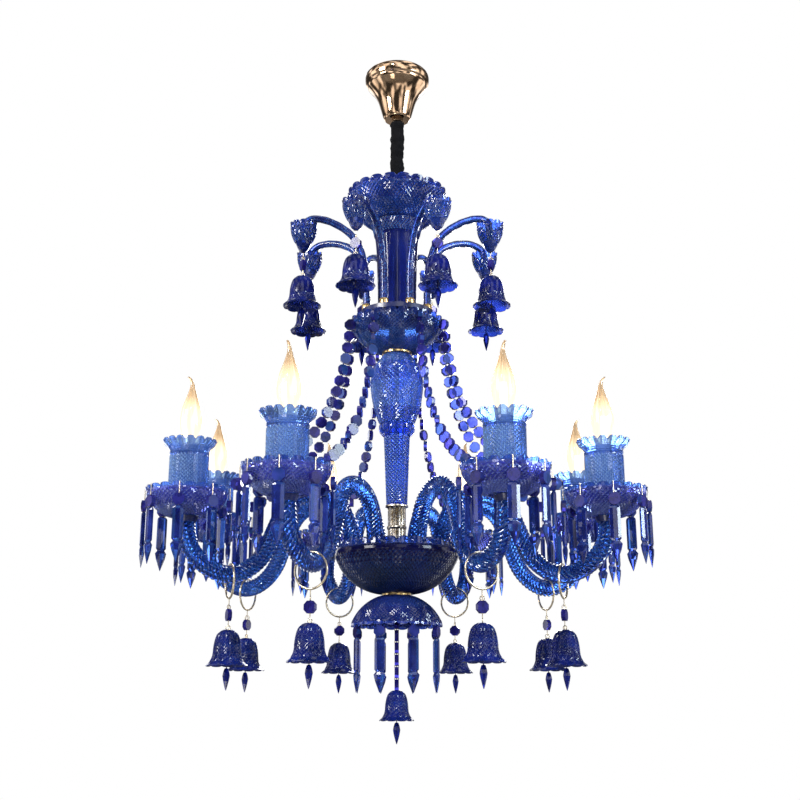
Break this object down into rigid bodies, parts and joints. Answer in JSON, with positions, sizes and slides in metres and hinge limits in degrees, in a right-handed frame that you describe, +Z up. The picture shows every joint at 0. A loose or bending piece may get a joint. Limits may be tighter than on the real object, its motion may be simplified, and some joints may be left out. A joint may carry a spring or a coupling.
{
  "type": "chandelier",
  "caption": "Cobalt cut-glass chandelier with candle lights on twisted glass arms, bell pendants, bead swags, spear prisms and a sleeved chain",
  "frame": {"origin": "centre of the ceiling bracket's top face, where the canopy meets the ceiling", "axes": "+Z up, along the chain and stem; the front of the chandelier, between its two front arms, faces -Y"},
  "size_m": [0.7408, 0.7334, 1.1157],
  "materials": {
    "canopy_metal": "polished champagne gold plating",
    "bracket_steel": "zinc plated steel",
    "hook_metal": "polished champagne gold plating",
    "black_sleeve": "gathered woven chain cover",
    "cobalt_glass": "diamond-cut cobalt blue glass",
    "navy_glass": "cut glass, deep navy",
    "arm_glass": "rope-twisted cobalt blue glass",
    "bell_glass": "cut cobalt blue glass",
    "bead_glass": "faceted violet-blue glass",
    "prism_glass": "faceted cobalt blue glass",
    "bronze": "dark bronze plating",
    "gold_trim": "polished gold plating",
    "column_metal": "polished reeded metal",
    "wire_metal": "champagne gold wire",
    "socket_white": "matt candle sleeve",
    "bulb_glass": "clear glass, lit warm white"
  },
  "bodies": {
    "ceiling_fitting": {"canopy_shell": "canopy_metal", "ceiling_bracket": "bracket_steel", "canopy_hook": "hook_metal", "canopy_nut": "canopy_metal"},
    "chain": {"chain_links": "hook_metal", "chain_sleeve": "black_sleeve"},
    "chandelier": {"centre_rod": "bracket_steel", "top_crown": "cobalt_glass", "trunk_vase": "cobalt_glass", "upper_hub": "bronze", "upper_bowl": "cobalt_glass", "neck_ring": "gold_trim", "baluster": "cobalt_glass", "glass_collar": "cobalt_glass", "stem_tube": "cobalt_glass", "metal_column": "column_metal", "arm_hub": "bronze", "main_bowl": "navy_glass", "spacer_ring": "gold_trim", "lower_dish": "navy_glass", "end_nut": "bronze", "arm_fittings": "bronze", "bobeches": "cobalt_glass", "candle_cups": "cobalt_glass", "lamp_sockets": "socket_white", "bulbs": "bulb_glass", "upper_arms": "arm_glass", "trumpet_cups": "cobalt_glass", "drop_beads": "bead_glass", "drop_prisms": "prism_glass", "drop_pins": "wire_metal", "swag_beads": "bead_glass", "swag_pins": "wire_metal", "arm_1": "arm_glass", "arm_2": "arm_glass", "arm_3": "arm_glass", "arm_4": "arm_glass", "arm_5": "arm_glass", "arm_6": "arm_glass", "arm_7": "arm_glass", "arm_8": "arm_glass"},
    "centre_pendant": {"centre_string": "bead_glass", "centre_bell": "bell_glass"},
    "lower_pendant_1": {"lower_bell_1": "bell_glass"},
    "lower_pendant_2": {"lower_bell_2": "bell_glass"},
    "lower_pendant_3": {"lower_bell_3": "bell_glass"},
    "lower_pendant_4": {"lower_bell_4": "bell_glass"},
    "lower_pendant_5": {"lower_bell_5": "bell_glass"},
    "lower_pendant_6": {"lower_bell_6": "bell_glass"},
    "lower_pendant_7": {"lower_bell_7": "bell_glass"},
    "lower_pendant_8": {"lower_bell_8": "bell_glass"},
    "upper_pendant_1": {"upper_bell_1": "bell_glass"},
    "upper_pendant_2": {"upper_bell_2": "bell_glass"},
    "upper_pendant_3": {"upper_bell_3": "bell_glass"},
    "upper_pendant_4": {"upper_bell_4": "bell_glass"},
    "upper_pendant_5": {"upper_bell_5": "bell_glass"},
    "upper_pendant_6": {"upper_bell_6": "bell_glass"},
    "upper_pendant_7": {"upper_bell_7": "bell_glass"},
    "upper_pendant_8": {"upper_bell_8": "bell_glass"}
  },
  "joints": [
    {"name": "chain_swing", "type": "hinge", "parent": "ceiling_fitting", "child": "chain", "pos_m": [0, 0, -0.101], "axis": [1, 0, 0], "range_deg": [-6, 6]},
    {"name": "stem_swing", "type": "hinge", "parent": "chain", "child": "chandelier", "pos_m": [0, 0, -0.2042], "axis": [0, 1, 0], "range_deg": [-6, 6]},
    {"name": "centre_pendant_swing", "type": "hinge", "parent": "chandelier", "child": "centre_pendant", "pos_m": [0, 0, -0.922], "axis": [1, 0, 0], "range_deg": [-10, 10]},
    {"name": "lower_bell_1_swing", "type": "hinge", "parent": "chandelier", "child": "lower_pendant_1", "pos_m": [0.11403, -0.23588, -0.87699], "axis": [0.4352, -0.9003, 0], "range_deg": [-18, 18]},
    {"name": "lower_bell_2_swing", "type": "hinge", "parent": "chandelier", "child": "lower_pendant_2", "pos_m": [0.24206, -0.10026, -0.87699], "axis": [0.9239, -0.3827, 0], "range_deg": [-18, 18]},
    {"name": "lower_bell_3_swing", "type": "hinge", "parent": "chandelier", "child": "lower_pendant_3", "pos_m": [0.24206, 0.10026, -0.87699], "axis": [0.9239, 0.3827, 0], "range_deg": [-18, 18]},
    {"name": "lower_bell_4_swing", "type": "hinge", "parent": "chandelier", "child": "lower_pendant_4", "pos_m": [0.10026, 0.24206, -0.87699], "axis": [0.3827, 0.9239, 0], "range_deg": [-18, 18]},
    {"name": "lower_bell_5_swing", "type": "hinge", "parent": "chandelier", "child": "lower_pendant_5", "pos_m": [-0.10026, 0.24206, -0.87699], "axis": [-0.3827, 0.9239, 0], "range_deg": [-18, 18]},
    {"name": "lower_bell_6_swing", "type": "hinge", "parent": "chandelier", "child": "lower_pendant_6", "pos_m": [-0.24206, 0.10026, -0.87699], "axis": [-0.9239, 0.3827, 0], "range_deg": [-18, 18]},
    {"name": "lower_bell_7_swing", "type": "hinge", "parent": "chandelier", "child": "lower_pendant_7", "pos_m": [-0.24206, -0.10026, -0.87699], "axis": [-0.9239, -0.3827, 0], "range_deg": [-18, 18]},
    {"name": "lower_bell_8_swing", "type": "hinge", "parent": "chandelier", "child": "lower_pendant_8", "pos_m": [-0.11403, -0.23588, -0.87699], "axis": [-0.4352, -0.9003, 0], "range_deg": [-18, 18]},
    {"name": "upper_bell_1_swing", "type": "hinge", "parent": "chandelier", "child": "upper_pendant_1", "pos_m": [0.06238, -0.15059, -0.3582], "axis": [0.3827, -0.9239, 0], "range_deg": [-14, 14]},
    {"name": "upper_bell_2_swing", "type": "hinge", "parent": "chandelier", "child": "upper_pendant_2", "pos_m": [0.15059, -0.06238, -0.3582], "axis": [0.9239, -0.3827, 0], "range_deg": [-14, 14]},
    {"name": "upper_bell_3_swing", "type": "hinge", "parent": "chandelier", "child": "upper_pendant_3", "pos_m": [0.15059, 0.06238, -0.3582], "axis": [0.9239, 0.3827, 0], "range_deg": [-14, 14]},
    {"name": "upper_bell_4_swing", "type": "hinge", "parent": "chandelier", "child": "upper_pendant_4", "pos_m": [0.06238, 0.15059, -0.3582], "axis": [0.3827, 0.9239, 0], "range_deg": [-14, 14]},
    {"name": "upper_bell_5_swing", "type": "hinge", "parent": "chandelier", "child": "upper_pendant_5", "pos_m": [-0.06238, 0.15059, -0.3582], "axis": [-0.3827, 0.9239, 0], "range_deg": [-14, 14]},
    {"name": "upper_bell_6_swing", "type": "hinge", "parent": "chandelier", "child": "upper_pendant_6", "pos_m": [-0.15059, 0.06238, -0.3582], "axis": [-0.9239, 0.3827, 0], "range_deg": [-14, 14]},
    {"name": "upper_bell_7_swing", "type": "hinge", "parent": "chandelier", "child": "upper_pendant_7", "pos_m": [-0.15059, -0.06238, -0.3582], "axis": [-0.9239, -0.3827, 0], "range_deg": [-14, 14]},
    {"name": "upper_bell_8_swing", "type": "hinge", "parent": "chandelier", "child": "upper_pendant_8", "pos_m": [-0.06238, -0.15059, -0.3582], "axis": [-0.3827, -0.9239, 0], "range_deg": [-14, 14]}
  ]
}
